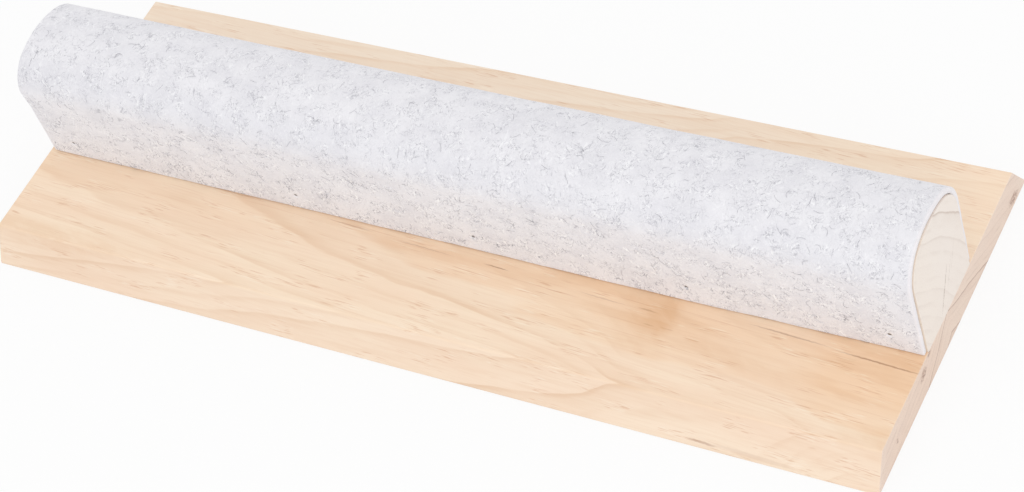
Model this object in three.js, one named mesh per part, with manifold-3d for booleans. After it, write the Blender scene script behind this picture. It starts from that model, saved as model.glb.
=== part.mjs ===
// A seam pressing tool. A pine board with bevelled long edges carries a domed pine rail, and
// one sheet of wool felt is wrapped over the rail from foot to foot. Brads pin the felt near
// its feet, and countersunk screws from underneath hold the rail on the board.
// Millimetres, +Z up. The origin is the middle of the board's underside, X runs along the
// rail, and -Y is the front.

import * as THREE from 'three';
import { mergeVertices } from 'three/addons/utils/BufferGeometryUtils.js';
import Module from 'manifold-3d';

const wasm = await Module();
wasm.setup();

// Board
const BOARD_LENGTH = 400;
const BOARD_WIDTH = 150; // across the underside
const BOARD_THICKNESS = 15.5;
const BOARD_BEVEL_RUN = 9.5; // how far each long edge leans in towards the top
const BOARD_EDGE_RADIUS = 0.7; // sanded rounding along the long edges
const BOARD_END_ARRIS = 0.4; // broken edges round the sawn ends
const BOARD_ARRIS_SHARE = 0.9; // of the edge radius, the most that an arris may take

// Rail, as long as the board
const RAIL_WIDTH = 41.6;
const RAIL_HEIGHT = 50; // from the board's top to the crown
const RAIL_SHOULDER_RADIUS = 14; // from each upright side into the dome
const RAIL_CROWN_RADIUS = 34; // the flatter arc between the shoulders

// Felt
const FELT_THICKNESS = 2;
const FELT_GLUE_LINE = 0.2; // between the felt and the rail
const FELT_END_SETBACK = 0.6; // the felt is cut this much short of the rail's ends
const FELT_FOOT_GAP = 0.4; // between its lower edges and the board

// Brads: flat wire with a T head and a chisel point, driven by hand along each side
const BRAD_COUNT = 5; // along each side
const BRAD_LENGTH = 15;
const BRAD_WIRE_WIDTH = 1.2;
const BRAD_WIRE_THICKNESS = 1;
const BRAD_HEAD_WIDTH = 2;
const BRAD_HEAD_DEPTH = 0.7;
const BRAD_POINT_LENGTH = 1.6;
const BRAD_HEAD_SINK = 0.4; // below the felt's face
const BRAD_FOOT_HEIGHT = 8.4; // above the board
const BRAD_END_INSET = 15; // the outermost brads, from the rail's ends
const BRAD_STRAY = [1, 22, 13, 13, 2]; // how far each strays from its even station
const BRAD_CLEARANCE = 0.15;

// Screws: partly threaded wood screws, shown at their core diameter where the thread is
const SCREW_COUNT = 4;
const SCREW_LENGTH = 40;
const SCREW_HEAD_DIAMETER = 8;
const SCREW_RIM_DEPTH = 0.4; // the head's short upright rim
const SCREW_SHANK_DIAMETER = 4;
const SCREW_SHANK_LENGTH = 17; // from the head's face to the thread
const SCREW_CORE_DIAMETER = 2.8;
const SCREW_POINT_LENGTH = 5;
const SCREW_DRIVE_WIDTH = 4.6; // the cross recess, tip to tip
const SCREW_DRIVE_SLOT = 1;
const SCREW_DRIVE_DEPTH = 2;
const SCREW_HEAD_SINK = 0.5; // below the board's underside
const SCREW_END_INSET = 50; // the outermost screws, from the rail's ends
const SCREW_CLEARANCE = 0.3;

// Fineness of the facets
const DOME_STEPS = 12; // each arc of the rail's section
const EDGE_STEPS = 4; // each rounded edge of the board
const ARRIS_STEPS = 2;
const SCREW_SIDES = 24;
const WELD = 1e-4;

// Finishes
const pine = new THREE.MeshStandardMaterial({ color: 0xf1d7bb, roughness: 0.62, metalness: 0 });
const palePine = new THREE.MeshStandardMaterial({ color: 0xefe4da, roughness: 0.68, metalness: 0 });
const greyFelt = new THREE.MeshStandardMaterial({ color: 0xe5e4e8, roughness: 0.96, metalness: 0 });
const dullSteel = new THREE.MeshStandardMaterial({ color: 0x75767a, roughness: 0.45, metalness: 1 });
const zincSteel = new THREE.MeshStandardMaterial({ color: 0xb4b6ba, roughness: 0.35, metalness: 1 });

// Solids

function solidOf(geometry) {
  const bare = geometry.clone();
  bare.deleteAttribute('normal');
  bare.deleteAttribute('uv');
  const welded = mergeVertices(bare, WELD);
  const corners = welded.index.array;
  const triangles = [];
  for (let i = 0; i < corners.length; i += 3) {
    const [a, b, c] = corners.subarray(i, i + 3);
    if (a !== b && b !== c && c !== a) {
      triangles.push(a, b, c);
    }
  }
  const vertProperties = new Float32Array(welded.attributes.position.array);
  const triVerts = new Uint32Array(triangles);
  return new wasm.Manifold(new wasm.Mesh({ numProp: 3, vertProperties, triVerts }));
}

function geometryOf(solid) {
  const { vertProperties, triVerts } = solid.getMesh();
  const geometry = new THREE.BufferGeometry();
  geometry.setAttribute('position', new THREE.BufferAttribute(vertProperties, 3));
  geometry.setIndex(new THREE.BufferAttribute(triVerts, 1));
  geometry.computeVertexNormals();
  return geometry;
}

function joined(solids) {
  return solids.reduce((whole, solid) => whole.add(solid));
}

// A cross-section drawn in Y and Z, extruded along X and centred on the origin.
const SECTION_TO_X = new THREE.Matrix4().makeBasis(
  new THREE.Vector3(0, 1, 0),
  new THREE.Vector3(0, 0, 1),
  new THREE.Vector3(1, 0, 0),
);

function alongX(section, length, arcSteps, arris = 0) {
  const geometry = new THREE.ExtrudeGeometry(section, {
    depth: length - 2 * arris,
    curveSegments: arcSteps,
    bevelEnabled: arris > 0,
    bevelThickness: arris,
    bevelSize: arris,
    bevelOffset: -arris,
    bevelSegments: ARRIS_STEPS,
  });
  geometry.translate(0, 0, arris - length / 2);
  return geometry.applyMatrix4(SECTION_TO_X);
}

// Stations spread evenly over the rail's length, the outermost set in from its ends.
function stations(count, endInset) {
  const first = endInset - BOARD_LENGTH / 2;
  const pitch = (BOARD_LENGTH - 2 * endInset) / (count - 1);
  return Array.from({ length: count }, (_, i) => first + i * pitch);
}

// Screws

// The head's face is at height 0 and the point is up. The clearance grows it into its hole,
// whose mouth reaches below the head's face.
function screwGeometry(clearance = 0, mouth = 0) {
  const head = SCREW_HEAD_DIAMETER / 2 + clearance;
  const shank = SCREW_SHANK_DIAMETER / 2 + clearance;
  const core = SCREW_CORE_DIAMETER / 2 + clearance;
  const coneEnd = SCREW_RIM_DEPTH + (SCREW_HEAD_DIAMETER - SCREW_SHANK_DIAMETER) / 2;
  const threadStart = SCREW_SHANK_LENGTH + clearance;
  const profile = [
    [0, -mouth],
    [head, -mouth],
    [head, SCREW_RIM_DEPTH],
    [shank, coneEnd],
    [shank, threadStart],
    [core, threadStart + SCREW_SHANK_DIAMETER / 2 - SCREW_CORE_DIAMETER / 2],
    [core, SCREW_LENGTH - SCREW_POINT_LENGTH],
    [0, SCREW_LENGTH + clearance],
  ].map(([radius, height]) => new THREE.Vector2(radius, height));
  return new THREE.LatheGeometry(profile, SCREW_SIDES).rotateX(Math.PI / 2);
}

function screwDrive() {
  const blade = new THREE.BoxGeometry(SCREW_DRIVE_WIDTH, SCREW_DRIVE_SLOT, 2 * SCREW_DRIVE_DEPTH);
  const cross = blade.clone().rotateZ(Math.PI / 2);
  return joined([solidOf(blade), solidOf(cross)]);
}

const screwSolid = solidOf(screwGeometry()).subtract(screwDrive());
const screwPlaces = stations(SCREW_COUNT, SCREW_END_INSET).map(
  (x) => new THREE.Vector3(x, 0, SCREW_HEAD_SINK),
);
const screwHole = screwGeometry(SCREW_CLEARANCE, 2 * SCREW_HEAD_SINK);
const screwHoles = joined(
  screwPlaces.map((place) => solidOf(screwHole.clone().translate(place.x, place.y, place.z))),
);

// Brads

// The head's face lies at depth 0 and the nail runs along +Y. The clearance grows it into its
// pocket, whose mouth opens outwards through the felt's face.
function bradGeometry(clearance = 0, mouth = 0) {
  const head = BRAD_HEAD_WIDTH / 2 + clearance;
  const wire = BRAD_WIRE_WIDTH / 2 + clearance;
  const headEnd = BRAD_HEAD_DEPTH + clearance;
  const pointStart = BRAD_LENGTH - BRAD_POINT_LENGTH + clearance;
  const half = [
    [head, -mouth],
    [head, headEnd],
    [wire, headEnd],
    [wire, pointStart],
  ];
  const mirrored = half.map(([across, depth]) => [-across, depth]).reverse();
  const outline = [...half, [0, BRAD_LENGTH + clearance], ...mirrored];
  const shape = new THREE.Shape(outline.map(([across, depth]) => new THREE.Vector2(across, depth)));
  const thickness = BRAD_WIRE_THICKNESS + 2 * clearance;
  const geometry = new THREE.ExtrudeGeometry(shape, { depth: thickness, bevelEnabled: false });
  return geometry.translate(0, 0, -thickness / 2);
}

const feltFace = RAIL_WIDTH / 2 + FELT_GLUE_LINE + FELT_THICKNESS;
const bradStations = stations(BRAD_COUNT, BRAD_END_INSET).map((x, i) => x + BRAD_STRAY[i]);
// The back row is the front row after half a turn of the tool.
const bradRows = [
  { row: 'front', turn: 0 },
  { row: 'back', turn: Math.PI },
];
const bradPlaces = bradRows.flatMap(({ row, turn }) =>
  bradStations.map((x, i) => {
    const place = new THREE.Vector3(x, BRAD_HEAD_SINK - feltFace, BOARD_THICKNESS + BRAD_FOOT_HEIGHT);
    place.applyAxisAngle(new THREE.Vector3(0, 0, 1), turn);
    return { name: `felt_brad_${row}_${i + 1}`, place, turn };
  }),
);
const bradPocket = bradGeometry(BRAD_CLEARANCE, 2 * BRAD_HEAD_SINK);
const bradPockets = joined(
  bradPlaces.map(({ place, turn }) =>
    solidOf(bradPocket.clone().rotateZ(turn).translate(place.x, place.y, place.z)),
  ),
);

// Board

// A closed outline round the corners, given counter-clockwise, each rounded by an arc.
function roundedOutline(corners, radius) {
  const shape = new THREE.Shape();
  corners.forEach((corner, i) => {
    const back = corners.at(i - 1).clone().sub(corner).normalize();
    const ahead = corners[(i + 1) % corners.length].clone().sub(corner).normalize();
    const half = Math.acos(back.dot(ahead)) / 2;
    const inwards = back.clone().add(ahead).normalize();
    const centre = corner.clone().addScaledVector(inwards, radius / Math.sin(half));
    const run = radius / Math.tan(half);
    const from = corner.clone().addScaledVector(back, run).sub(centre).angle();
    const to = corner.clone().addScaledVector(ahead, run).sub(centre).angle();
    shape.absarc(centre.x, centre.y, radius, from, to, false);
  });
  return shape;
}

function boardSolid() {
  const foot = BOARD_WIDTH / 2;
  const top = foot - BOARD_BEVEL_RUN;
  const corners = [
    new THREE.Vector2(-foot, 0),
    new THREE.Vector2(foot, 0),
    new THREE.Vector2(top, BOARD_THICKNESS),
    new THREE.Vector2(-top, BOARD_THICKNESS),
  ];
  const section = roundedOutline(corners, BOARD_EDGE_RADIUS);
  const arris = Math.min(BOARD_END_ARRIS, BOARD_ARRIS_SHARE * BOARD_EDGE_RADIUS);
  return solidOf(alongX(section, BOARD_LENGTH, EDGE_STEPS, arris)).subtract(screwHoles);
}

// Rail and felt

const shoulderRadius = Math.min(RAIL_SHOULDER_RADIUS, RAIL_WIDTH / 2);
const shoulderY = RAIL_WIDTH / 2 - shoulderRadius;
const crownZ = BOARD_THICKNESS + RAIL_HEIGHT - RAIL_CROWN_RADIUS;
const shoulderZ = crownZ + Math.sqrt((RAIL_CROWN_RADIUS - shoulderRadius) ** 2 - shoulderY ** 2);
const crownStart = Math.atan2(shoulderZ - crownZ, shoulderY); // where shoulder and crown meet

// Draws the domed section from foot to foot, grown outwards by an offset: upright side,
// shoulder, crown, shoulder, upright side, all tangent. It runs from +Y to -Y, or back again.
function followDome(path, offset, footZ, returning = false) {
  const side = RAIL_WIDTH / 2 + offset;
  const arcs = [
    { y: shoulderY, z: shoulderZ, radius: shoulderRadius, from: 0, to: crownStart },
    { y: 0, z: crownZ, radius: RAIL_CROWN_RADIUS, from: crownStart, to: Math.PI - crownStart },
    { y: -shoulderY, z: shoulderZ, radius: shoulderRadius, from: Math.PI - crownStart, to: Math.PI },
  ];
  if (returning) {
    path.lineTo(-side, footZ);
    for (const { y, z, radius, from, to } of arcs.reverse()) {
      path.absarc(y, z, radius + offset, to, from, true);
    }
    path.lineTo(side, footZ);
  } else {
    path.moveTo(side, footZ);
    path.lineTo(side, shoulderZ); // an arc that comes first in a path isn't joined to its start
    for (const { y, z, radius, from, to } of arcs) {
      path.absarc(y, z, radius + offset, from, to, false);
    }
    path.lineTo(-side, footZ);
  }
}

function railSolid() {
  const section = new THREE.Shape();
  followDome(section, 0, BOARD_THICKNESS);
  const rail = solidOf(alongX(section, BOARD_LENGTH, DOME_STEPS));
  return rail.subtract(screwHoles).subtract(bradPockets);
}

function feltSolid() {
  const footZ = BOARD_THICKNESS + FELT_FOOT_GAP;
  const section = new THREE.Shape();
  followDome(section, FELT_GLUE_LINE + FELT_THICKNESS, footZ);
  followDome(section, FELT_GLUE_LINE, footZ, true);
  const length = BOARD_LENGTH - 2 * FELT_END_SETBACK;
  return solidOf(alongX(section, length, DOME_STEPS)).subtract(bradPockets);
}

// The assembled tool

const tool = new THREE.Group();

function addPiece(name, geometry, material) {
  const piece = new THREE.Mesh(geometry, material.clone());
  piece.name = name;
  tool.add(piece);
  return piece;
}

addPiece('base_board', geometryOf(boardSolid()), pine);
addPiece('pressing_rail', geometryOf(railSolid()), palePine);
addPiece('felt_cover', geometryOf(feltSolid()), greyFelt);

const bradBody = geometryOf(solidOf(bradGeometry()));
for (const { name, place, turn } of bradPlaces) {
  const brad = addPiece(name, bradBody, dullSteel);
  brad.position.copy(place);
  brad.rotation.z = turn;
}

const screwBody = geometryOf(screwSolid);
screwPlaces.forEach((place, i) => {
  addPiece(`rail_screw_${i + 1}`, screwBody, zincSteel).position.copy(place);
});

export default tool;
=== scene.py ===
import math
import random
from collections import namedtuple

import bmesh
import bpy
from mathutils import Matrix, Quaternion, Vector, noise


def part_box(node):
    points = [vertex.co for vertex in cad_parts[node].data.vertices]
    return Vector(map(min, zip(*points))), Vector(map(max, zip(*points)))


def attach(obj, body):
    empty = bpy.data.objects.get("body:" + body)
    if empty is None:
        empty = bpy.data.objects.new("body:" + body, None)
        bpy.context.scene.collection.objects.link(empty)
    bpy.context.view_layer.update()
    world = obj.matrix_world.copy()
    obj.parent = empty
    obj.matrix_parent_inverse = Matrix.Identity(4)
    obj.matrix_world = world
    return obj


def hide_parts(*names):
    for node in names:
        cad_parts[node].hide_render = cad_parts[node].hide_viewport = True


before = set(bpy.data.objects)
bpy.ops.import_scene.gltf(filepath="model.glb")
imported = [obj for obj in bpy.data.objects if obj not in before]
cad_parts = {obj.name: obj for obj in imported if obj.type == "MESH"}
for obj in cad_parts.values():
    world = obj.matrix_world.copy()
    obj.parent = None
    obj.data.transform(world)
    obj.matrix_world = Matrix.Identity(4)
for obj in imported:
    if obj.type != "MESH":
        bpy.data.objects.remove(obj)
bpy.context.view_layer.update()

# Sizes in metres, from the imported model
MM = 0.001
BOARD_LOW, BOARD_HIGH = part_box("base_board")
RAIL_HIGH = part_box("pressing_rail")[1]
FELT_LOW, FELT_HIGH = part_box("felt_cover")
BOARD_TOP = BOARD_HIGH.z
FRONT_BRADS = [f"felt_brad_front_{place}" for place in range(1, 6)]
BACK_BRADS = [f"felt_brad_back_{place}" for place in range(1, 6)]
SCREWS = [f"rail_screw_{place}" for place in range(1, 5)]

# The rail's dome: round shoulders that run into a flatter crown
SHOULDER_RADIUS = 14 * MM
CROWN_RADIUS = 34 * MM
SHOULDER_Y = RAIL_HIGH.y - SHOULDER_RADIUS
CROWN_Z = RAIL_HIGH.z - CROWN_RADIUS
SHOULDER_RISE = math.sqrt((CROWN_RADIUS - SHOULDER_RADIUS) ** 2 - SHOULDER_Y ** 2)
SHOULDER_Z = CROWN_Z + SHOULDER_RISE
CROWN_START = math.atan2(SHOULDER_RISE, SHOULDER_Y)

# The felt over it
FELT_GLUE = 0.2 * MM
FELT_THICKNESS = FELT_HIGH.y - RAIL_HIGH.y - FELT_GLUE
FELT_MIDDLE = FELT_GLUE + FELT_THICKNESS / 2
FELT_FACE = FELT_GLUE + FELT_THICKNESS
FELT_LENGTH = FELT_HIGH.x - FELT_LOW.x
FELT_UV = "felt_laid_flat"
FELT_EDGE_ROUND = 0.45 * MM
FELT_EDGE_STEPS = 3
FELT_RIM_ANGLE = math.radians(60)
FELT_MESH = 1.6 * MM
FELT_FINE_REACH = 5 * MM
FELT_FINE_CUTS = 5

# How unevenly it lies. It stops short at the left end and is fuller over the back shoulder.
FELT_SWELL = 0.13 * MM
FELT_SWELL_SIZE = 24 * MM
FELT_LUMP = 0.05 * MM
FELT_LUMP_SIZE = 5 * MM
FELT_HEM_REACH = 9 * MM
FELT_HEM_WAVE = 0.3 * MM
FELT_HEM_WAVE_SIZE = 16 * MM
FELT_HEM_WAVE_ROW = 7
FELT_END_WAVE = 0.25 * MM
FELT_END_WAVE_SIZE = 12 * MM
FELT_END_WAVE_ROW = 5
FELT_BOARD_GAP = 0.08 * MM
FELT_LEFT_SHORT = 0.8 * MM
FELT_FRONT_SHORT = 1.5 * MM
FELT_SHORT_TOP = 54 * MM
FELT_SHORT_RISE = 10 * MM
FELT_FULL = 1.5 * MM
FELT_FULL_FOOT = 34 * MM
FELT_FULL_LEAN = 0.8
FELT_FULL_RIGHT = 0.3
FELT_HEM_FLARE = 0.6 * MM
FELT_FLARE_PLACE = 85 * MM
FELT_FLARE_REACH = 70 * MM
DIMPLE_DEPTH = 0.9 * MM
DIMPLE_LENGTH = 0.85 * MM
DIMPLE_HEIGHT = 0.65 * MM

# Stray fibres that have worked loose from the felt
FIBRE_SEED = 23
FIBRE_COUNT = 900
FIBRE_SIDES = 3
FIBRE_ROUND = 0.04 * MM
FIBRE_STEPS = 6
FIBRE_STEP = 0.7 * MM
FIBRE_TURN = 0.5
FIBRE_LIFT = 0.22 * MM
FIBRE_CLEAR = 0.5 * MM
FIBRE_INSET = 6 * MM

# Places in the finishes are in millimetres. A blot is full over this share of its half sizes.
BOARD_TOP_MM = BOARD_TOP / MM
BOARD_END_MM = BOARD_HIGH.x / MM
RAIL_END_MM = RAIL_HIGH.x / MM
FELT_END_MM = FELT_HIGH.x / MM
BLOT_CORE = 0.35

# Felt: the turns of its layers of dark and light wool, in radians, and shifts that keep layers apart
DARK_WOOL_TURNS = (0.2, 0.85, 1.45, 2.1, 2.7)
DARK_WOOL_SHIFT = 0
LIGHT_WOOL_TURNS = (0.5, 1.2, 1.8, 2.5)
LIGHT_WOOL_SHIFT = 60
WOOL_LAYER_SHIFT = 9
WOOL_GAP_SHIFT = 50
WOOL_LINE = (0.008, 0.03)

# Pine: shares of a year's growth between which its wood darkens or pales
LATE_SLOWLY = (0.15, 0.92)
LATE_FAST = (0.8, 0.94)
WINTER = (0.955, 1)
FALSE_RING_DARKENS = (0.22, 0.42)
FALSE_RING_PALES = (0.42, 0.5)
END_RING = (0.87, 0.95)

# Pine: how far its rings wander, in millimetres, and how far its grain turns, in radians
RING_SWAY = 3.2
RING_RIPPLE = 1.1
GRAIN_TURN = 0.05
MOTTLE_TURN = 0.4

# Pine: how strongly each mark of the grain shows
LATE_SHOWS = 0.6
THREAD_SHOWS = 0.16
BAND_SHOWS = 0.3
CANAL_SHOWS = 0.34
LINE_SHOWS = 0.35
FLECK_SHOWS = 0.5
END_SHOWS = 0.8
END_RING_SHOWS = 0.75
END_PORE_SHOWS = 0.2
END_LATE_SHOWS = 0.4

# The board's log: where its pith ran, under the board and rising to the right, and how far in front of
# it the front edge of the board's top is
PITH_Y = -4
PITH_DEPTH = 108
PITH_SLOPE = 0.2
PITH_CURVE = 0.000175
PITH_TO_EDGE = 61.5

# The lean of the rings, and the pointed arch that they draw on the board's top
ARCH_TIP_X = 90
ARCH_TIP_ROUND = 2
ARCH_CURL = 4.5
ARCH_CURL_REACH = 16
RING_LEAN = 0.041
RING_LEVEL_X = 83
RING_SWELL = 1.4

# The rings at the board's right end, which rise to a peak
END_PEAK_X = (150, 198)
END_PEAK_Y = -2.2
END_PEAK_OUT = 47.1
END_SLOPE_RIGHT = 0.41
END_SLOPE_LEFT = 0.15
END_STEEP_LEFT = 0.47
END_STEEP_REACH = 24

# The ragged border of the board's heartwood, which thins out in two steps
HEART_NEAR_STEP = (-17, -9)
HEART_FAR_STEP = (-8.6, -7)
HEART_RAGGED = 6
HEART_BEND_X = 91
HEART_DRIFT = 0.038
HEART_JOG_X = (150, 175)
HEART_JOG = 3

# The rail's log: where its pith ran, outside the rail, and a ring to count from
RAIL_PITH_Y = -102
RAIL_PITH_DEPTH = 58
RAIL_RING_OUT = 151.2

# The photograph's camera, and the light
CAMERA_PLACE = Vector((0.50913, -0.52177, 0.78998))
CAMERA_AIM = Vector((0.015534, -0.007191, 0))
CAMERA_ROLL = math.radians(-22.251)
CAMERA_LENS = 94.286
CAMERA_SENSOR = 36
ROOM_LIGHT = 0.9
FLOOR_SIZE = 6
FLOOR_GREY = (0.9, 0.9, 0.9, 1)
FLOOR_WHITE = 0.85
WHITE = (1, 1, 1, 1)

# How a place of the wood lay in its log: how far out it is, in millimetres, and how much it belongs to the
# warm heartwood, to paler wood, to a flare of darker wood, to a rim beside an edge (painted shade on the
# rail), and to painted shade on the faces below the board's top
LogPlace = namedtuple("LogPlace", "out heart pale flare rim sawn")


def srgb(red, green, blue):
    """A colour as a screen shows it, 0 to 255, as the linear colour that a shader takes."""
    shares = [value / 255 for value in (red, green, blue)]
    linear = [s / 12.92 if s <= 0.04045 else ((s + 0.055) / 1.055) ** 2.4 for s in shares]
    return (*linear, 1)


class Wire:
    """One socket of a finish. Sums with numbers and other wires add Math nodes."""

    def __init__(self, finish, socket):
        self.finish = finish
        self.socket = socket

    def maths(self, operation, *values):
        return self.finish.node("ShaderNodeMath", {"operation": operation}, dict(enumerate(values)))

    def output(self, name):
        return Wire(self.finish, self.socket.node.outputs[name])

    def __add__(self, other):
        return self.maths("ADD", self, other)

    def __radd__(self, other):
        return self.maths("ADD", other, self)

    def __sub__(self, other):
        return self.maths("SUBTRACT", self, other)

    def __rsub__(self, other):
        return self.maths("SUBTRACT", other, self)

    def __mul__(self, other):
        return self.maths("MULTIPLY", self, other)

    def __rmul__(self, other):
        return self.maths("MULTIPLY", other, self)

    def __truediv__(self, other):
        return self.maths("DIVIDE", self, other)

    def __abs__(self):
        return self.maths("ABSOLUTE", self)


class Finish:
    """The nodes of one material, or of the world."""

    def __init__(self, owner):
        self.owner = owner
        owner.use_nodes = True
        self.tree = owner.node_tree
        self.tree.nodes.clear()

    def node(self, kind, settings=None, sockets=None, output=0):
        """Adds a node: its settings first, then the values or links of its sockets."""
        made = self.tree.nodes.new(kind)
        for name, value in (settings or {}).items():
            setattr(made, name, value)
        for name, value in (sockets or {}).items():
            if isinstance(value, Wire):
                self.tree.links.new(value.socket, made.inputs[name])
            else:
                made.inputs[name].default_value = value
        return Wire(self, made.outputs[output] if made.outputs else None)

    def millimetres(self):
        """The place on the piece, in millimetres."""
        place = self.node("ShaderNodeTexCoord", output="Object")
        return self.node("ShaderNodeVectorMath", {"operation": "SCALE"}, {0: place, "Scale": 1 / MM})

    def split(self, vector):
        first = self.node("ShaderNodeSeparateXYZ", sockets={0: vector})
        return first, first.output("Y"), first.output("Z")

    def grain(self, vector, sizes, detail=0, roughness=0.5, shift=0):
        """Smooth random values from 0 to 1, in blots of these sizes along X, Y and Z."""
        scaled = self.node(
            "ShaderNodeVectorMath",
            {"operation": "MULTIPLY_ADD"},
            {0: vector, 1: [1 / size for size in sizes], 2: [shift] * 3},
        )
        sockets = {"Vector": scaled, "Scale": 1, "Detail": detail, "Roughness": roughness}
        return self.node("ShaderNodeTexNoise", {"noise_dimensions": "3D"}, sockets)

    def rise(self, value, low, high):
        """0 below low and 1 above high, with a smooth step between them."""
        sockets = {"Value": value, "From Min": low, "From Max": high}
        return self.node("ShaderNodeMapRange", {"interpolation_type": "SMOOTHSTEP"}, sockets)

    def patches(self, vector, sizes, low, high, **grain):
        """Patches of these sizes: 0 where the random value is below low and 1 where it is above high."""
        return self.rise(self.grain(vector, sizes, **grain), low, high)

    def mix(self, factor, first, second, kind="MIX"):
        settings = {"data_type": "RGBA", "blend_type": kind}
        return self.node("ShaderNodeMix", settings, {0: factor, 6: first, 7: second}, output=2)

    def turned(self, vector, turn):
        """The same places, turned about Z."""
        return self.node("ShaderNodeMapping", sockets={"Vector": vector, "Rotation": (0, 0, turn)})

    def shaken(self, vector, size, reach, shift=0):
        """The same places, each pushed a little way, so that what is drawn there comes out uneven."""
        push = self.grain(vector, (size, size, size), detail=2, shift=shift).output("Color")
        middle = (0.5, 0.5, 0.5)
        centred = self.node("ShaderNodeVectorMath", {"operation": "SUBTRACT"}, {0: push, 1: middle})
        sockets = {0: centred, 1: (reach, reach, reach), 2: vector}
        return self.node("ShaderNodeVectorMath", {"operation": "MULTIPLY_ADD"}, sockets)

    def blot(self, vector, place, sizes, turn):
        """1 in the middle of a soft-edged oval of these half sizes, turned, and 0 outside."""
        sockets = {"Vector": vector, "Location": place, "Rotation": turn, "Scale": sizes}
        local = self.node("ShaderNodeMapping", {"vector_type": "TEXTURE"}, sockets)
        reach = self.node("ShaderNodeVectorMath", {"operation": "LENGTH"}, {0: local}, output="Value")
        return 1 - self.rise(reach, BLOT_CORE, 1)

    def bump(self, height, distance, strength):
        sockets = {"Height": height, "Distance": distance, "Strength": strength}
        return self.node("ShaderNodeBump", sockets=sockets)

    def surface(self, **sockets):
        """Ends the material in one Principled shader. Underscores in the names stand for spaces."""
        named = {name.replace("_", " "): value for name, value in sockets.items()}
        shader = self.node("ShaderNodeBsdfPrincipled", sockets=named)
        self.node("ShaderNodeOutputMaterial", sockets={"Surface": shader})
        return self.owner


def growth(finish, mm, out, spacing, first_year):
    """How far through its year a place of the wood grew, 0 to 1, and how dark that year's late wood is."""
    sway = finish.grain(mm, (80, 24, 24), detail=1) - 0.5
    ripple = finish.grain(mm, (24, 5, 5), detail=2, shift=11) - 0.5
    years = (out + sway * RING_SWAY + ripple * RING_RIPPLE) / spacing
    year = years.maths("FLOOR", years) + first_year
    strength = finish.node("ShaderNodeTexWhiteNoise", {"noise_dimensions": "1D"}, {"W": year})
    return years.maths("FRACT", years), strength


def pine_rings(finish, mm, out, wood):
    """The late wood of the growth rings, as it shows along the grain, and as lines on an end."""
    season, strength = growth(finish, mm, out, wood["ring"], wood["first_year"])
    winter = 1 - finish.rise(season, *WINTER)
    fade = finish.patches(mm, (70, 9, 9), 0.3, 0.62, detail=1, shift=31)
    late = finish.rise(season, *LATE_SLOWLY) * 0.4 + finish.rise(season, *LATE_FAST) * 0.6
    late = late * winter * (0.15 + 0.85 * strength) * (0.35 + 0.65 * fade)
    false_ring = finish.rise(season, *FALSE_RING_DARKENS) * (1 - finish.rise(season, *FALSE_RING_PALES))
    late = late + false_ring * (1 - fade) * 0.4
    return late, finish.rise(season, *END_RING) * winter * strength * strength


def pine_fibres(finish, mm, heart, wood, colour):
    """Draws the marks that run along the grain: threads, amber bands, resin canals, flecks and long lines.

    Returns the colour, and the height that the marks have."""
    along = finish.turned(mm, GRAIN_TURN)
    thread = finish.grain(along, (32, 1.1, 1.1), detail=2, roughness=0.6, shift=3)
    colour = finish.mix(finish.rise(thread, 0.4, 0.75) * THREAD_SHOWS, colour, wood["late"])
    band = finish.patches(along, (38, 5, 5), 0.46, 0.64, detail=3, shift=43)
    colour = finish.mix(band * heart * BAND_SHOWS, colour, wood["amber"])
    cluster = finish.patches(along, (20, 5, 5), 0.52, 0.64, detail=1, shift=7)
    gathered = 0.05 + 0.95 * cluster
    dash = finish.grain(along, (7.5, 0.4, 0.4), detail=1, roughness=0.3, shift=17)
    canal = finish.rise(dash, 0.57, 0.7) * gathered
    fleck = (1 - finish.rise(dash, 0.3, 0.42)) * gathered
    line = finish.patches(along, (48, 0.9, 0.9), 0.64, 0.76, detail=1, shift=23) * (0.2 + 0.8 * heart)
    colour = finish.mix(canal * CANAL_SHOWS, colour, wood["streak"])
    colour = finish.mix(line * LINE_SHOWS, colour, wood["streak"])
    colour = finish.mix(fleck * FLECK_SHOWS, colour, wood["fleck"])
    return colour, thread * 0.4 - canal * 0.12 - line * 0.12


def pine_end(finish, mm, end, late, ring, wood, end_marks, colour):
    """Draws the end grain: its rings, its pores, and the torn or dark marks on it.

    Returns the colour, and how deep the pores are."""
    colour = finish.mix(end * END_SHOWS, colour, wood["end"])
    pore = finish.patches(mm, (4, 0.5, 0.5), 0.5, 0.75, detail=2, shift=29)
    lines = ring * END_RING_SHOWS + pore * END_PORE_SHOWS
    colour = finish.mix(end * lines, colour, wood["end_ring"])
    colour = finish.mix(end * late * END_LATE_SHOWS, colour, wood["end_ring"])
    ragged = finish.shaken(mm, 2.2, wood["tear"])
    torn = 0.3 + 0.7 * finish.patches(mm, (2, 1.1, 0.8), 0.42, 0.58, detail=2, shift=47)
    for place, sizes, turn, depth in end_marks:
        mark = finish.blot(ragged, place, sizes, turn) * torn * depth
        colour = finish.mix(mark, colour, wood["mark"])
    return colour, end * pore


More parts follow.
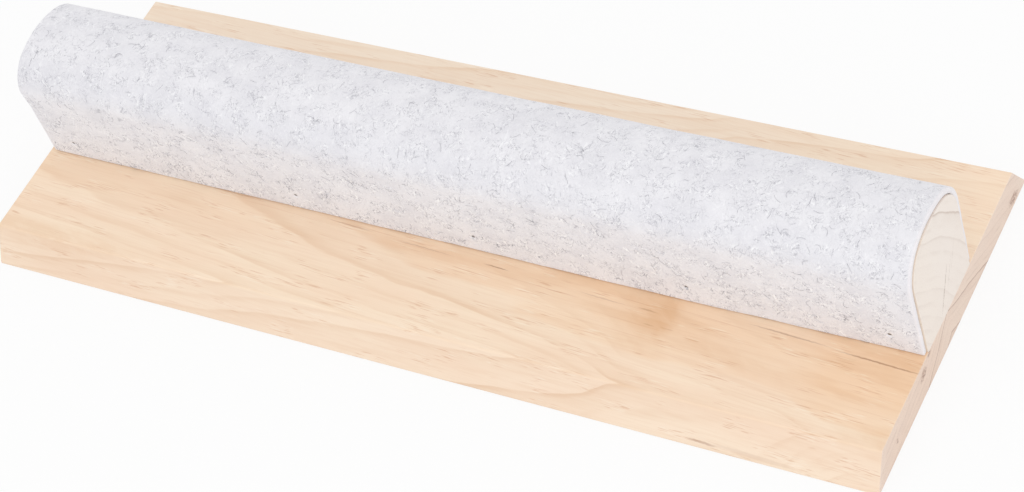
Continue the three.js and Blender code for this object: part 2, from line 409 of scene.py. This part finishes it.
def pine(name, half_length, place_in_log, wood, streaks, end_marks):
    """Sanded pine. The growth rings run through the whole piece, so the grain meets round every edge."""
    finish = Finish(bpy.data.materials.new(name))
    mm = finish.millimetres()
    log = place_in_log(finish, mm)
    late, ring = pine_rings(finish, mm, log.out, wood)
    flush = finish.patches(mm, (90, 18, 18), 0.36, 0.66, detail=3, shift=5)
    colour = finish.mix(flush, wood["early"], wood["flush"])
    colour = finish.mix(log.heart, colour, wood["heart"])
    colour = finish.mix(log.pale, colour, wood["pale"])
    colour = finish.mix(late * LATE_SHOWS, colour, wood["late"])
    colour, height = pine_fibres(finish, mm, log.heart, wood, colour)
    uneven = finish.shaken(mm, 2, 0.6)
    for place, sizes, depth in streaks:
        pitch = finish.blot(uneven, place, sizes, (0, 0, -GRAIN_TURN))
        colour = finish.mix(pitch * depth, colour, wood["pitch"])
    slanted = finish.turned(mm, MOTTLE_TURN)
    mottle = finish.patches(slanted, (15, 6, 6), 0.36, 0.62, detail=3, roughness=0.55, shift=53)
    colour = finish.mix(log.flare * (0.5 + 0.5 * mottle), colour, wood["amber"])
    # Painted shade: the faces below the board's top, its front bevel most of all, are multiplied a little
    # darker
    colour = finish.mix(log.sawn, colour, wood["sawn"], "MULTIPLY")
    end = finish.rise(abs(finish.split(mm)[0]), half_length - 0.2, half_length - 0.04)
    colour, pores = pine_end(finish, mm, end, late, ring, wood, end_marks, colour)
    colour = finish.mix(log.rim, colour, wood["rim"])
    height = height + late * 0.3 - pores * 0.5
    return finish.surface(
        Base_Color=colour,
        Roughness=0.64 - late * 0.1,
        Normal=finish.bump(height, 0.15 * MM, 0.35),
    )


def past_front_edge(x, y, z):
    """How much further from the pith a place of the board is than the front edge of the top beside it."""
    depth = PITH_DEPTH - x * (PITH_SLOPE + x * PITH_CURVE)
    across = y - PITH_Y
    above = z - BOARD_TOP_MM + depth
    from_pith = x.maths("SQRT", across * across + above * above)
    return from_pith - x.maths("SQRT", PITH_TO_EDGE ** 2 + depth * depth)


def board_rings(finish, x, y, z, past_edge):
    """How far out a place of the board is. Its rings lean, curl to the arch and peak at the right end."""
    front_left = (1 - finish.rise(y, -62, -46)) * (1 - finish.rise(x, -110, -50))
    lean = (RING_LEVEL_X - x) * RING_LEAN + front_left * RING_SWELL
    ahead = ARCH_TIP_X - x
    ramp = (ahead + x.maths("SQRT", ahead * ahead + ARCH_TIP_ROUND)) / 2
    curl = ARCH_CURL - ARCH_CURL * x.maths("EXPONENT", ramp / -ARCH_CURL_REACH)
    out = past_edge + lean + curl
    left = x.maths("MAXIMUM", END_PEAK_Y - y, 0)
    right = x.maths("MAXIMUM", y - END_PEAK_Y, 0)
    steep = x.maths("MINIMUM", left, END_STEEP_REACH)
    peaked = z + right * END_SLOPE_RIGHT + left * END_SLOPE_LEFT + steep * END_STEEP_LEFT - END_PEAK_OUT
    return out + finish.rise(x, *END_PEAK_X) * (peaked - out)


def board_heart(finish, mm, x, y, past_edge):
    """How much a place of the board belongs to the warm heartwood, which is cooler in parts."""
    ragged = (finish.grain(mm, (40, 9, 9), detail=2, shift=13) - 0.5) * HEART_RAGGED
    drift = x.maths("MAXIMUM", (HEART_BEND_X - x) * HEART_DRIFT, 0)
    border = past_edge + drift - finish.rise(x, *HEART_JOG_X) * HEART_JOG + ragged
    thinned = finish.rise(border, *HEART_FAR_STEP) * 0.4 + finish.rise(border, *HEART_NEAR_STEP) * 0.4
    heart = 0.8 - thinned
    cool = finish.rise(x, 100, 135) - finish.rise(x, 152, 172)
    warm_middle = finish.rise(x, -90, -25)
    warm_right = finish.rise(x, 160, 175)
    heart = heart * (0.62 + 0.38 * warm_middle - 0.3 * cool + 0.12 * warm_right)
    heart = heart * (1 - 0.4 * finish.rise(y, -31, -26) * cool)
    warm_left = finish.rise(y, -43, -33) * (1 - finish.rise(x, -90, -30))
    return heart + warm_left * 0.18


def board_flare(finish, mm):
    """The flare of darker wood by the felt, beside the arch, and some soft warm stains."""
    wild_x, wild_y, _ = finish.split(finish.shaken(mm, 9, 12, shift=37))
    within = finish.rise(wild_x, 74, 98) * (1 - finish.rise(wild_x, 100, 107))
    flare = within * finish.rise(wild_y, -56, -34)
    stains = [
        ((130, -43, BOARD_TOP_MM), (55, 6, 9), -0.2, 0.5),
        ((-172, -64, BOARD_TOP_MM), (60, 9, 12), 0, 0.5),
        ((-3, -29, BOARD_TOP_MM), (34, 4, 6), 0, 0.5),
        ((203, -62, BOARD_TOP_MM), (30, 9, 12), 0, 0.6),
        ((200, -32, BOARD_TOP_MM), (30, 9, 12), 0, 0.45),
    ]
    for place, sizes, turn, depth in stains:
        flare = flare + finish.blot(mm, place, sizes, (0, 0, turn)) * depth
    return flare


def board_log(finish, mm):
    """How the board lay in its log, which was flat sawn and leans up towards the right end."""
    x, y, z = finish.split(mm)
    past_edge = past_front_edge(x, y, z)
    front = 1 - finish.rise(y, -20, -5)
    darker_right = 0.35 * finish.rise(x, 40, 180) + 0.25 * finish.rise(x, 165, 198)
    # The board is paler along the top arris at each end
    paler_end_arris = finish.rise(abs(x), BOARD_END_MM - 0.7, BOARD_END_MM - 0.3)
    paler_end_arris = paler_end_arris * finish.rise(z, BOARD_TOP_MM - 0.8, BOARD_TOP_MM - 0.3)
    return LogPlace(
        out=board_rings(finish, x, y, z, past_edge),
        heart=board_heart(finish, mm, x, y, past_edge) * front,
        pale=finish.rise(y, 0, 50) * (0.6 - darker_right),
        flare=board_flare(finish, mm) * front * 0.5,
        rim=paler_end_arris * 0.08,
        # Painted shade on the faces below the top: the front bevel, the edges and the ends
        sawn=1 - finish.rise(z, BOARD_TOP_MM - 1, BOARD_TOP_MM - 0.2),
    )


def board_pine():
    """The board's warm, flat-sawn pine. Dark streaks of pitch run along its top and its front bevel."""
    wood = {
        "ring": 6.2,
        "first_year": 4607,
        "tear": 3,
        "early": srgb(251, 230, 205),
        "flush": srgb(248, 222, 196),
        "heart": srgb(246, 211, 176),
        "pale": srgb(245, 230, 213),
        "late": srgb(226, 188, 152),
        "streak": srgb(196, 126, 68),
        "fleck": srgb(253, 238, 218),
        "mark": srgb(132, 84, 62),
        "pitch": srgb(146, 84, 50),
        "amber": srgb(222, 172, 124),
        "end": srgb(238, 219, 206),
        "end_ring": srgb(160, 128, 112),
        "rim": srgb(252, 236, 226),
        # A grey multiplier: painted shade for the faces below the top
        "sawn": (0.965, 0.96, 0.978, 1),
    }
    streaks = [
        ((186, -30.2, BOARD_TOP_MM), (22, 0.5, 0.6), 0.6),
        ((148, -27.6, BOARD_TOP_MM), (20, 0.45, 0.6), 0.4),
        ((72, -31, BOARD_TOP_MM), (13, 0.4, 0.6), 0.22),
        ((91.5, -31.4, BOARD_TOP_MM), (5, 0.5, 0.6), 0.35),
        ((94.6, -37.6, BOARD_TOP_MM), (3, 0.4, 0.6), 0.3),
        ((102, -37.5, BOARD_TOP_MM), (4, 0.4, 0.6), 0.22),
        ((24, -28.5, BOARD_TOP_MM), (7, 0.35, 0.6), 0.6),
        ((-9, -27.5, BOARD_TOP_MM), (17, 0.4, 0.6), 0.28),
        ((-46, -25.2, BOARD_TOP_MM), (14, 0.5, 0.6), 0.3),
        ((130, -73.3, 2.8), (9, 0.6, 0.9), 0.4),
        ((150, -73.4, 2.6), (70, 0.9, 1.4), 0.13),
    ]
    knots = [
        ((BOARD_END_MM, -54.5, 6.5), (2, 0.9, 1.5), (0, 0, 0), 0.6),
        ((BOARD_END_MM, 63, 3.8), (3, 6, 2.8), (-0.2, 0, 0), 0.7),
        ((BOARD_END_MM, -27.5, 10.8), (2, 4, 2.6), (0.4, 0, 0), 0.65),
        ((BOARD_END_MM, -20.5, 14.6), (2, 2.6, 1.3), (0, 0, 0), 0.65),
    ]
    return pine("board_pine", BOARD_END_MM, board_log, wood, streaks, knots)


def rail_log(finish, mm):
    """How the rail lay in its log: quarter sawn, with its rings slanting across the end.

    Its front half is warmer, and painted shade darkens its sides at the right end, where they show beside
    the felt."""
    x, y, z = finish.split(mm)
    across = y - RAIL_PITH_Y
    above = z - BOARD_TOP_MM + RAIL_PITH_DEPTH
    # Painted shade on the rail's sides in the right half, which show only in the thin strip beside the
    # felt's end
    setback_shade = (1 - finish.rise(abs(x), RAIL_END_MM - 0.4, RAIL_END_MM - 0.1)) * finish.rise(x, 0, 1)
    return LogPlace(
        out=x.maths("SQRT", across * across + above * above) - RAIL_RING_OUT,
        heart=1 - finish.rise(y, -16, 6),
        pale=0,
        flare=0,
        rim=setback_shade * 0.1,
        sawn=0,
    )


def rail_pine():
    """The rail's paler pine, which shows only at its ends. One of them has fine drying checks."""
    wood = {
        "ring": 9.5,
        "first_year": 10165,
        "tear": 0.6,
        "early": srgb(245, 235, 227),
        "flush": srgb(243, 231, 222),
        "heart": srgb(247, 233, 216),
        "pale": srgb(243, 231, 222),
        "late": srgb(235, 220, 208),
        "streak": srgb(206, 182, 164),
        "fleck": srgb(250, 242, 235),
        "mark": srgb(150, 130, 118),
        "pitch": srgb(206, 182, 164),
        "amber": srgb(235, 220, 208),
        "end": srgb(245, 236, 228),
        "end_ring": srgb(205, 188, 176),
        # Painted shade for the strip of the rail's side beside the felt's right end
        "rim": srgb(176, 148, 128),
        "sawn": WHITE,
    }
    slant = (math.radians(58), 0, 0)
    checks = [
        ((RAIL_END_MM, -0.7, BOARD_TOP_MM + 11.3), (4, 12.5, 0.5), slant, 0.7),
        ((RAIL_END_MM, 5.5, BOARD_TOP_MM + 15), (4, 9, 0.4), slant, 0.25),
        ((RAIL_END_MM, 10, BOARD_TOP_MM + 19), (4, 8, 0.4), slant, 0.2),
    ]
    return pine("rail_pine", RAIL_END_MM, rail_log, wood, [], checks)


def wool(finish, sheet, turn, shift):
    """Fine wandering lines, broken into short lengths, as fibres lie in felt, mostly in one direction."""
    turned = finish.turned(sheet, turn)
    path = finish.grain(turned, (5.5, 1.3, 1), shift=shift)
    unbroken = finish.patches(turned, (4, 1.3, 1), 0.48, 0.55, shift=shift + WOOL_GAP_SHIFT)
    return (1 - finish.rise(abs(path - 0.5), *WOOL_LINE)) * unbroken


def laid_wool(finish, sheet, turns, shift):
    """Wool that lies in several directions, with one layer for each turn."""
    layers = wool(finish, sheet, turns[0], shift)
    for turn in turns[1:]:
        shift += WOOL_LAYER_SHIFT
        layers = layers.maths("MAXIMUM", layers, wool(finish, sheet, turn, shift))
    return layers


def grey_felt():
    """Light grey wool felt, marled with darker wool. The fibres lie in the sheet, in all directions.

    The darker wool is denser on the sides, and painted shade greys the front shoulder of the dome a little,
    most at the left."""
    finish = Finish(bpy.data.materials.new("grey_felt"))
    mm = finish.millimetres()
    x, y, z = finish.split(mm)
    uv = finish.node("ShaderNodeUVMap", {"uv_map": FELT_UV})
    flat = finish.node("ShaderNodeVectorMath", {"operation": "SCALE"}, {0: uv, "Scale": 1 / MM})
    sheet = finish.shaken(flat, 5, 3, shift=21)
    dark = laid_wool(finish, sheet, DARK_WOOL_TURNS, DARK_WOOL_SHIFT)
    light = laid_wool(finish, sheet, LIGHT_WOOL_TURNS, LIGHT_WOOL_SHIFT)

    cloud = finish.patches(mm, (13, 13, 13), 0.3, 0.7, detail=3, roughness=0.6)
    clump = finish.patches(flat, (8, 6, 6), 0.42, 0.6, detail=3, roughness=0.6, shift=4)
    smudge = finish.patches(flat, (16, 9, 9), 0.5, 0.62, detail=2, shift=77)
    side = 1 - finish.rise(z, 42, 56)
    low = 1 - finish.rise(z, 24, 38)
    # Painted shade: a grey band along the front shoulder, stronger on the left half, damps the light the
    # shoulder catches
    shoulder = finish.rise(z, 52, 58) * (1 - finish.rise(z, 62.5, 66.5)) * (1 - finish.rise(y, -12, -4))
    shoulder_shade = shoulder * (0.15 - 0.08 * finish.rise(x, -20, 50))
    cut = finish.rise(abs(x), FELT_END_MM - 1.3, FELT_END_MM - 0.4)
    dark = dark * (0.07 + 0.4 * clump) * (0.94 + 0.26 * side + low * smudge * 0.7) * (1 - cut)

    colour = finish.mix(cloud, srgb(240, 239, 243), srgb(231, 230, 235))
    # Darker clumps of wool, with the painted shade on the front shoulder
    colour = finish.mix(clump * 0.07 + shoulder_shade, colour, srgb(210, 210, 218))
    colour = finish.mix(dark, colour, srgb(134, 134, 144))
    bright = light * (0.32 + 0.42 * clump) * (1 + 0.35 * side)
    colour = finish.mix(bright, colour, srgb(253, 253, 255))
    colour = finish.mix(cut * 0.5, colour, srgb(247, 242, 243))
    nap = finish.grain(mm, (0.6, 0.6, 0.6), detail=3, roughness=0.7, shift=41)
    height = nap * 0.7 + light * 0.5 - dark * 0.3
    return finish.surface(
        Base_Color=colour,
        Roughness=0.95,
        Normal=finish.bump(height, 0.2 * MM, 0.5),
        Specular_IOR_Level=0.2,
        Sheen_Weight=0.1,
        Sheen_Roughness=0.6,
    )


def loose_wool():
    """The grey of single fibres, some light and some dark."""
    finish = Finish(bpy.data.materials.new("loose_wool"))
    shade = finish.patches(finish.millimetres(), (5, 5, 5), 0.42, 0.58, shift=9)
    return finish.surface(
        Base_Color=finish.mix(shade, srgb(120, 120, 130), srgb(235, 235, 240)),
        Roughness=0.8 + 0.1 * shade,
        Specular_IOR_Level=0.2,
    )


def steel(name, bright, dull, roughness):
    """Plain steel with patches that time has dulled."""
    finish = Finish(bpy.data.materials.new(name))
    mm = finish.millimetres()
    patch = finish.patches(mm, (1.4, 1.4, 1.4), 0.4, 0.65, detail=3)
    scratch = finish.grain(mm, (0.12, 1.5, 0.12), detail=2, shift=6)
    return finish.surface(
        Base_Color=finish.mix(patch, bright, dull),
        Metallic=1.0,
        Roughness=roughness + patch * 0.15 + scratch * 0.1,
        Normal=finish.bump(scratch, 0.03 * MM, 0.3),
    )


def brad_steel():
    """The brads' dark drawn wire."""
    return steel("brad_steel", bright=(0.36, 0.36, 0.37, 1), dull=(0.22, 0.22, 0.22, 1), roughness=0.4)


def screw_zinc():
    """The screws' zinc plate."""
    return steel("screw_zinc", bright=(0.55, 0.56, 0.58, 1), dull=(0.4, 0.41, 0.42, 1), roughness=0.3)


def add_piece(name, mesh, material):
    """A finished bmesh as an object of the scene."""
    data = bpy.data.meshes.new(name)
    mesh.to_mesh(data)
    mesh.free()
    data.materials.append(material)
    piece = bpy.data.objects.new(name, data)
    bpy.context.scene.collection.objects.link(piece)
    return piece


def kept_within_one(value):
    """A value, or 0 or 1 where it lies below or above them."""
    return min(max(value, 0), 1)


def off_rail(y, z):
    """How far a point of the section stands off the rail, and which way is out, as (y, z)."""
    side = math.copysign(1, y)
    if z <= SHOULDER_Z:
        return abs(y) - RAIL_HIGH.y, (side, 0)
    if math.atan2(z - CROWN_Z, abs(y)) >= CROWN_START:
        centre, round_over = (0, CROWN_Z), CROWN_RADIUS
    else:
        centre, round_over = (side * SHOULDER_Y, SHOULDER_Z), SHOULDER_RADIUS
    out_y, out_z = y - centre[0], z - centre[1]
    reach = math.hypot(out_y, out_z)
    return reach - round_over, (out_y / reach, out_z / reach)


def round_dome(y, z):
    """How far round the felt's middle layer a point of the section is, from the top of the crown."""
    side = math.copysign(1, y)
    crown_turn = math.pi / 2 - CROWN_START
    crown_run = crown_turn * (CROWN_RADIUS + FELT_MIDDLE)
    if z <= SHOULDER_Z:
        return side * (crown_run + CROWN_START * (SHOULDER_RADIUS + FELT_MIDDLE) + SHOULDER_Z - z)
    if math.atan2(z - CROWN_Z, abs(y)) >= CROWN_START:
        return math.atan2(y, z - CROWN_Z) * (CROWN_RADIUS + FELT_MIDDLE)
    turn = math.atan2(abs(y) - SHOULDER_Y, z - SHOULDER_Z) - crown_turn
    return side * (crown_run + turn * (SHOULDER_RADIUS + FELT_MIDDLE))


def on_dome(run):
    """The point of the felt's face this far round the dome, and which way is out, as (y, z)."""
    side = math.copysign(1, run)
    crown_turn = math.pi / 2 - CROWN_START
    past_crown = abs(run) - crown_turn * (CROWN_RADIUS + FELT_MIDDLE)
    past_shoulder = past_crown - CROWN_START * (SHOULDER_RADIUS + FELT_MIDDLE)
    if past_shoulder > 0:
        return (side * (RAIL_HIGH.y + FELT_FACE), SHOULDER_Z - past_shoulder), (side, 0)
    if past_crown > 0:
        turn = crown_turn + past_crown / (SHOULDER_RADIUS + FELT_MIDDLE)
        centre, reach = (side * SHOULDER_Y, SHOULDER_Z), SHOULDER_RADIUS + FELT_FACE
    else:
        turn = abs(run) / (CROWN_RADIUS + FELT_MIDDLE)
        centre, reach = (0, CROWN_Z), CROWN_RADIUS + FELT_FACE
    out = (side * math.sin(turn), math.cos(turn))
    return (centre[0] + out[0] * reach, centre[1] + out[1] * reach), out


def lay_out_felt(mesh):
    """Maps the sheet as it lay flat, in metres. The cut edges run on by their thickness."""
    layer = mesh.loops.layers.uv.new(FELT_UV)
    for face in mesh.faces:
        for loop in face.loops:
            x, y, z = loop.vert.co
            loop[layer].uv = (x + off_rail(y, z)[0], round_dome(y, z))


def dome_line(mesh, x, offset, foot_z):
    """A line of the section from the back foot over the dome to the front foot, in short steps."""
    tip = mesh.verts.new((x, RAIL_HIGH.y + offset, foot_z))
    climb = SHOULDER_Z - foot_z
    tip = bmesh.ops.extrude_vert_indiv(mesh, verts=[tip])["verts"][0]
    bmesh.ops.translate(mesh, verts=[tip], vec=(0, 0, climb))
    arcs = [
        ((x, SHOULDER_Y, SHOULDER_Z), CROWN_START, SHOULDER_RADIUS + offset),
        ((x, 0, CROWN_Z), math.pi - 2 * CROWN_START, CROWN_RADIUS + offset),
        ((x, -SHOULDER_Y, SHOULDER_Z), CROWN_START, SHOULDER_RADIUS + offset),
    ]
    for centre, turn, radius in arcs:
        steps = round(turn * radius / FELT_MESH)
        spun = bmesh.ops.spin(mesh, geom=[tip], cent=centre, axis=(1, 0, 0), angle=turn, steps=steps)
        tip = next(part for part in spun["geom_last"] if isinstance(part, bmesh.types.BMVert))
    tip = bmesh.ops.extrude_vert_indiv(mesh, verts=[tip])["verts"][0]
    bmesh.ops.translate(mesh, verts=[tip], vec=(0, 0, -climb))
    sides = [edge for edge in mesh.edges if edge.calc_length() > climb / 2]
    bmesh.ops.subdivide_edges(mesh, edges=sides, cuts=round(climb / FELT_MESH) - 1)


def felt_sheet():
    """The felt as one closed sheet, still even, with its cut edges softly rounded."""
    mesh = bmesh.new()
    dome_line(mesh, FELT_LOW.x, FELT_FACE, FELT_LOW.z)
    run = bmesh.ops.extrude_edge_only(mesh, edges=mesh.edges[:])["geom"]
    far = [part for part in run if isinstance(part, bmesh.types.BMVert)]
    bmesh.ops.translate(mesh, verts=far, vec=(FELT_LENGTH, 0, 0))
    runs = [edge for edge in mesh.edges if edge.calc_length() > FELT_LENGTH / 2]
    cuts = round(FELT_LENGTH / FELT_MESH) - 1
    bmesh.ops.subdivide_edges(mesh, edges=runs, cuts=cuts, use_grid_fill=True)
    bmesh.ops.recalc_face_normals(mesh, faces=mesh.faces[:])
    bmesh.ops.solidify(mesh, geom=mesh.faces[:], thickness=FELT_THICKNESS)
    bmesh.ops.recalc_face_normals(mesh, faces=mesh.faces[:])
    rims = [edge for edge in mesh.edges if edge.calc_face_angle() > FELT_RIM_ANGLE]
    bmesh.ops.bevel(
        mesh,
        geom=rims,
        offset=FELT_EDGE_ROUND,
        affect="EDGES",
        segments=FELT_EDGE_STEPS,
        profile=0.5,
        material=-1,
    )
    return mesh


def brad_heads():
    """Where the brads' heads are, front and back."""
    boxes = [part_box(name) for name in FRONT_BRADS + BACK_BRADS]
    return [(low + high) / 2 for low, high in boxes]


def near_head(place, head):
    """Whether a place on the felt's side is close to a brad's head."""
    same_side = place.y * head.y > 0
    return same_side and math.hypot(place.x - head.x, place.z - head.z) < FELT_FINE_REACH


def in_outer_half(vertex):
    """Whether a point of the sheet lies in the outer half of its thickness."""
    return off_rail(vertex.co.y, vertex.co.z)[0] > FELT_MIDDLE


def cut_finer(mesh, heads):
    """Gives the felt's face a finer mesh round the brads' heads, for their dimples."""
    fine = []
    for edge in mesh.edges:
        first, second = edge.verts
        middle = (first.co + second.co) / 2
        near = any(near_head(middle, head) for head in heads)
        if near and in_outer_half(first) and in_outer_half(second):
            fine.append(edge)
    bmesh.ops.subdivide_edges(mesh, edges=fine, cuts=FELT_FINE_CUTS, use_grid_fill=True)


def swell(place, heads):
    """How far the felt's face stands out with its swells and lumps, or in at a brad."""
    push = FELT_SWELL * noise.noise(place / FELT_SWELL_SIZE)
    push += FELT_LUMP * noise.noise(place / FELT_LUMP_SIZE)
    for head in heads:
        if near_head(place, head):
            along = (place.x - head.x) / DIMPLE_LENGTH
            up = (place.z - head.z) / DIMPLE_HEIGHT
            push -= DIMPLE_DEPTH * math.exp(-along * along - up * up)
    return push


def fullness(place, out):
    """How much thicker the felt is over the back shoulder, most of all at the left end."""
    behind = kept_within_one(out[0] / FELT_FULL_LEAN) ** 2
    behind *= kept_within_one((place.z - FELT_FULL_FOOT) / (SHOULDER_Z - FELT_FULL_FOOT))
    leftward = (FELT_HIGH.x - place.x) / FELT_LENGTH
    return FELT_FULL * behind * (FELT_FULL_RIGHT + (1 - FELT_FULL_RIGHT) * leftward ** 2)


def left_short(place):
    """How far the felt stops short at the left end, which is more on the upright front side."""
    if place.x >= 0:
        return 0
    if place.y >= 0:
        return FELT_LEFT_SHORT
    upright = kept_within_one((FELT_SHORT_TOP - place.z) / FELT_SHORT_RISE)
    return FELT_LEFT_SHORT + FELT_FRONT_SHORT * upright


def press_felt(mesh, heads):
    """Gives the even sheet its swells and dimples, its wavy hem and ends, and the flare of its hem."""
    for vertex in mesh.verts:
        place = vertex.co.copy()
        stand, out = off_rail(place.y, place.z)
        side = math.copysign(1, place.y)
        outer = kept_within_one((stand - FELT_GLUE) / FELT_THICKNESS)
        push = outer * (swell(place, heads) + fullness(place, out))
        hem = max(0, 1 - (place.z - FELT_LOW.z) / FELT_HEM_REACH) ** 2
        hem_wave = noise.noise(Vector((place.x / FELT_HEM_WAVE_SIZE, side * FELT_HEM_WAVE_ROW, 0)))
        flare = math.exp(-(((place.x - FELT_FLARE_PLACE) / FELT_FLARE_REACH) ** 2)) * FELT_HEM_FLARE
        end = max(0, 1 - (FELT_HIGH.x - abs(place.x)) / FELT_HEM_REACH) ** 2
        end_row = math.copysign(FELT_END_WAVE_ROW, place.x)
        end_place = Vector((end_row, place.y / FELT_END_WAVE_SIZE, place.z / FELT_END_WAVE_SIZE))
        end_wave = noise.noise(end_place)
        lift = out[1] * push + hem * hem_wave * FELT_HEM_WAVE
        vertex.co.x += end * (end_wave * FELT_END_WAVE + left_short(place))
        vertex.co.y += out[0] * push + side * hem * flare
        vertex.co.z = max(place.z + lift, BOARD_TOP + FELT_BOARD_GAP)


def grow_fibre(root, heading, chance):
    """One stray fibre, a thin three-sided tube that wanders over the felt and lifts off it in the middle."""
    mesh = bmesh.new()
    aim = heading.to_track_quat("Z", "Y").to_matrix().to_4x4()
    start = Matrix.Translation(root) @ aim
    ring = bmesh.ops.create_circle(
        mesh, cap_ends=True, radius=FIBRE_ROUND, segments=FIBRE_SIDES, matrix=start
    )
    tip = ring["verts"][0].link_faces[0]
    place = root
    bend = chance.uniform(-FIBRE_TURN, FIBRE_TURN)
    lift = FIBRE_LIFT * chance.random()
    for step in range(1, FIBRE_STEPS + 1):
        _, out = off_rail(place.y, place.z)
        turn = Quaternion((0, *out), bend + chance.uniform(-FIBRE_TURN, FIBRE_TURN) / 2)
        ahead = place + turn @ heading * FIBRE_STEP
        stand, out = off_rail(ahead.y, ahead.z)
        arch = lift * math.sin(math.pi * step / FIBRE_STEPS)
        ahead += Vector((0, *out)) * (FELT_FACE + FIBRE_ROUND + arch - stand)
        ahead.z = max(ahead.z, BOARD_TOP + FIBRE_CLEAR)
        grown = bmesh.ops.extrude_face_region(mesh, geom=[tip])["geom"]
        tip = next(part for part in grown if isinstance(part, bmesh.types.BMFace))
        swing = heading.rotation_difference(ahead - place).to_matrix()
        bmesh.ops.translate(mesh, verts=tip.verts[:], vec=ahead - place)
        bmesh.ops.rotate(mesh, verts=tip.verts[:], cent=ahead, matrix=swing)
        heading = (ahead - place).normalized()
        place = ahead
    bmesh.ops.recalc_face_normals(mesh, faces=mesh.faces[:])
    return mesh


def fray_felt():
    """Stray fibres all over the felt's face, each closed and with few faces."""
    chance = random.Random(FIBRE_SEED)
    foot = round_dome(RAIL_HIGH.y, FELT_LOW.z)
    one = bpy.data.meshes.new("one_fibre")
    mesh = bmesh.new()
    for _ in range(FIBRE_COUNT):
        x = chance.uniform(FELT_LOW.x + FIBRE_INSET, FELT_HIGH.x - FIBRE_INSET)
        place, out = on_dome(chance.uniform(-foot, foot))
        turn = Quaternion((0, *out), chance.uniform(0, 2 * math.pi))
        fibre = grow_fibre(Vector((x, *place)), turn @ Vector((1, 0, 0)), chance)
        fibre.to_mesh(one)
        fibre.free()
        mesh.from_mesh(one)
    bpy.data.meshes.remove(one)
    return mesh


def make_felt():
    """The felt cover, stretched over the rail, and its stray fibres."""
    mesh = felt_sheet()
    heads = brad_heads()
    cut_finer(mesh, heads)
    lay_out_felt(mesh)
    press_felt(mesh, heads)
    for face in mesh.faces:
        face.smooth = True
    fibres = add_piece("felt_stray_fibres", fray_felt(), loose_wool())
    felt = add_piece("felt", mesh, grey_felt())
    for piece in (felt, fibres):
        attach(piece, "root")
    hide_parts("felt_cover")
    girth = 2 * round_dome(RAIL_HIGH.y, FELT_LOW.z)


def dress(names, material):
    """Gives CAD nodes their finish."""
    for name in names:
        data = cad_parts[name].data
        data.materials.clear()
        data.materials.append(material)


def make_camera():
    """The camera that took the photograph, as fitted to the board's edges."""
    camera = bpy.data.objects.new("camera", bpy.data.cameras.new("camera"))
    camera.data.lens = CAMERA_LENS
    camera.data.sensor_width = CAMERA_SENSOR
    camera.location = CAMERA_PLACE
    level = (CAMERA_AIM - CAMERA_PLACE).to_track_quat("-Z", "Y")
    camera.rotation_mode = "QUATERNION"
    camera.rotation_quaternion = level @ Quaternion((0, 0, 1), CAMERA_ROLL)
    bpy.context.scene.collection.objects.link(camera)
    bpy.context.scene.camera = camera


def seen_rays(finish):
    """1 for the rays that show the background itself: straight on, in gloss or through glass."""
    camera = finish.node("ShaderNodeLightPath", output="Is Camera Ray")
    seen = camera.maths("MAXIMUM", camera, camera.output("Is Glossy Ray"))
    return seen.maths("MAXIMUM", seen, camera.output("Is Transmission Ray"))


def make_room():
    """A white room: even light all round, and white where the background shows."""
    world = bpy.data.worlds.new("room")
    finish = Finish(world)
    light = finish.node("ShaderNodeBackground", sockets={"Color": WHITE, "Strength": ROOM_LIGHT})
    white = finish.node("ShaderNodeBackground", sockets={"Color": WHITE, "Strength": 1})
    both = finish.node("ShaderNodeMixShader", sockets={0: seen_rays(finish), 1: light, 2: white})
    finish.node("ShaderNodeOutputWorld", sockets={"Surface": both})
    bpy.context.scene.world = world


def make_floor():
    """A pale floor that looks white and keeps a faint shadow."""
    finish = Finish(bpy.data.materials.new("floor"))
    lit = finish.node("ShaderNodeBsdfDiffuse", sockets={"Color": FLOOR_GREY})
    white = finish.node("ShaderNodeEmission", sockets={"Color": WHITE, "Strength": 1})
    share = seen_rays(finish) * FLOOR_WHITE
    both = finish.node("ShaderNodeMixShader", sockets={0: share, 1: lit, 2: white})
    finish.node("ShaderNodeOutputMaterial", sockets={"Surface": both})
    mesh = bmesh.new()
    bmesh.ops.create_grid(mesh, x_segments=1, y_segments=1, size=FLOOR_SIZE / 2)
    bmesh.ops.translate(mesh, verts=mesh.verts[:], vec=(0, 0, BOARD_LOW.z))
    add_piece("floor", mesh, finish.owner)


def make_softbox(name, place, size, watts):
    """A large square lamp that faces the object."""
    lamp = bpy.data.lights.new(name, "AREA")
    lamp.size = size
    lamp.energy = watts
    softbox = bpy.data.objects.new(name, lamp)
    softbox.location = place
    softbox.rotation_mode = "QUATERNION"
    softbox.rotation_quaternion = (-Vector(place)).to_track_quat("-Z", "Y")
    bpy.context.scene.collection.objects.link(softbox)


bpy.context.scene.view_settings.view_transform = "Standard"
make_camera()
make_room()
make_floor()
make_softbox("softbox_above", place=(-0.25, -0.35, 1.5), size=1.4, watts=1.5)
make_softbox("softbox_front", place=(0.9, -1.1, 0.7), size=1, watts=3)
make_felt()
dress(["base_board"], board_pine())
dress(["pressing_rail"], rail_pine())
dress(FRONT_BRADS + BACK_BRADS, brad_steel())
dress(SCREWS, screw_zinc())
